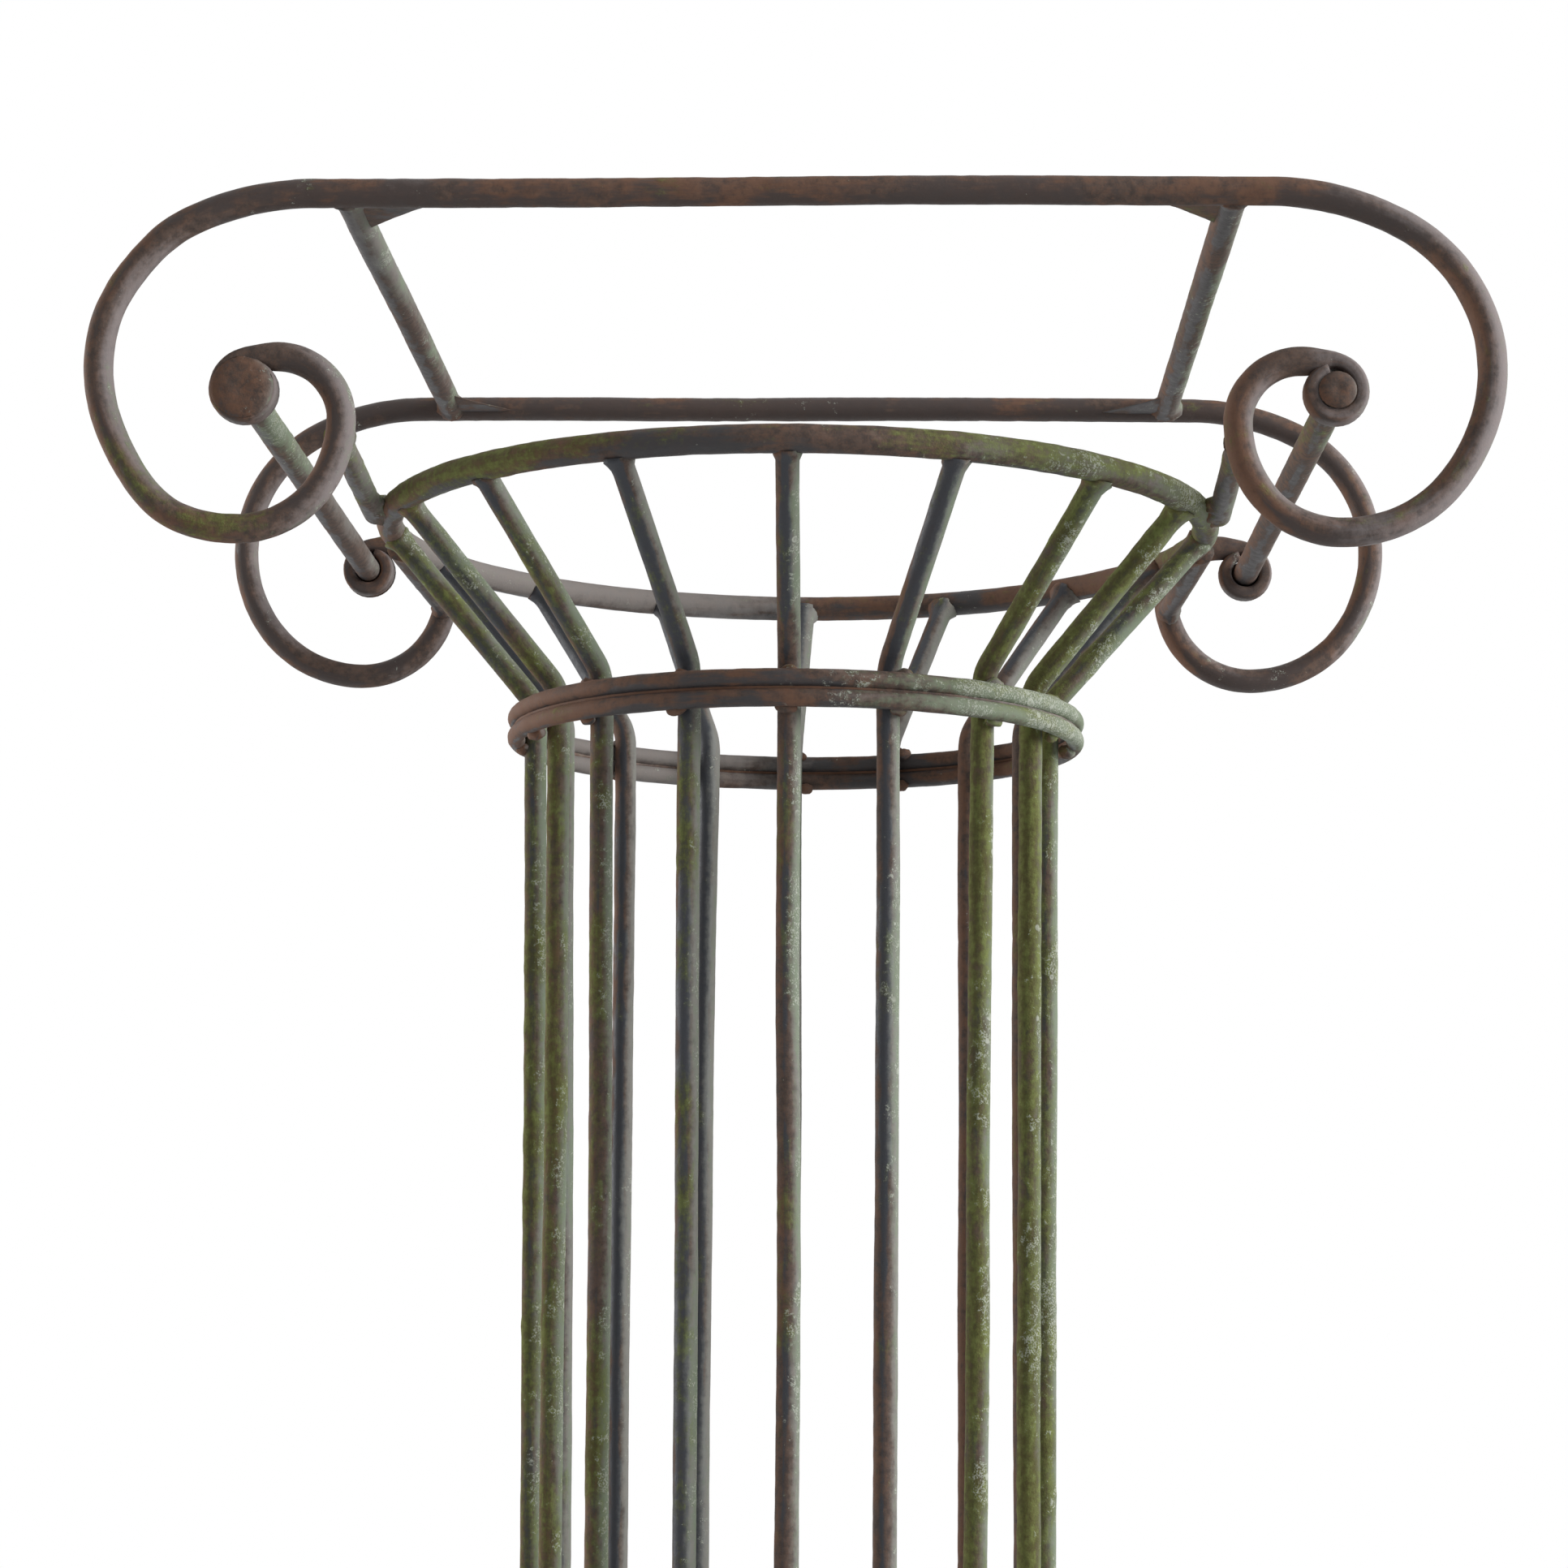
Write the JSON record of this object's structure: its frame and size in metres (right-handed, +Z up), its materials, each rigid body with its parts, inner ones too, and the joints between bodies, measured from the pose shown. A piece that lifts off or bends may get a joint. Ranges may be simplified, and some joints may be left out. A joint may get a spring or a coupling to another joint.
{
  "type": "wirework ionic column",
  "caption": "Tall free-standing garden column of round iron rod, with an open cage shaft, a flared bell and paired scrolls tied front to back.",
  "frame": {"origin": "on the ground, on the column's axis", "axes": "+Z up the column, the scrolls face -Y and +Y, +X to the right seen from the front"},
  "size_m": [0.5614, 0.3744, 2.05],
  "materials": {
    "upright_rods": "rusted, with moss and lichen",
    "rings": "rusted, with moss and lichen",
    "scrolls": "rusted",
    "ties": "rusted, with moss"
  },
  "bodies": {
    "root": {"shaft_rod_01": "upright_rods", "shaft_rod_02": "upright_rods", "shaft_rod_03": "upright_rods", "shaft_rod_04": "upright_rods", "shaft_rod_05": "upright_rods", "shaft_rod_06": "upright_rods", "shaft_rod_07": "upright_rods", "shaft_rod_08": "upright_rods", "shaft_rod_09": "upright_rods", "shaft_rod_10": "upright_rods", "shaft_rod_11": "upright_rods", "shaft_rod_12": "upright_rods", "shaft_rod_13": "upright_rods", "shaft_rod_14": "upright_rods", "shaft_rod_15": "upright_rods", "shaft_rod_16": "upright_rods", "bell_ring": "rings", "upper_neck_band": "rings", "lower_neck_band": "rings", "upper_base_band": "rings", "lower_base_band": "rings", "foot_ring": "rings", "front_scroll": "scrolls", "back_scroll": "scrolls", "left_eye_rod": "ties", "right_eye_rod": "ties", "front_left_carry_rod": "ties", "front_right_carry_rod": "ties", "back_left_carry_rod": "ties", "back_right_carry_rod": "ties", "left_crossbar": "ties", "right_crossbar": "ties"}
  },
  "joints": []
}
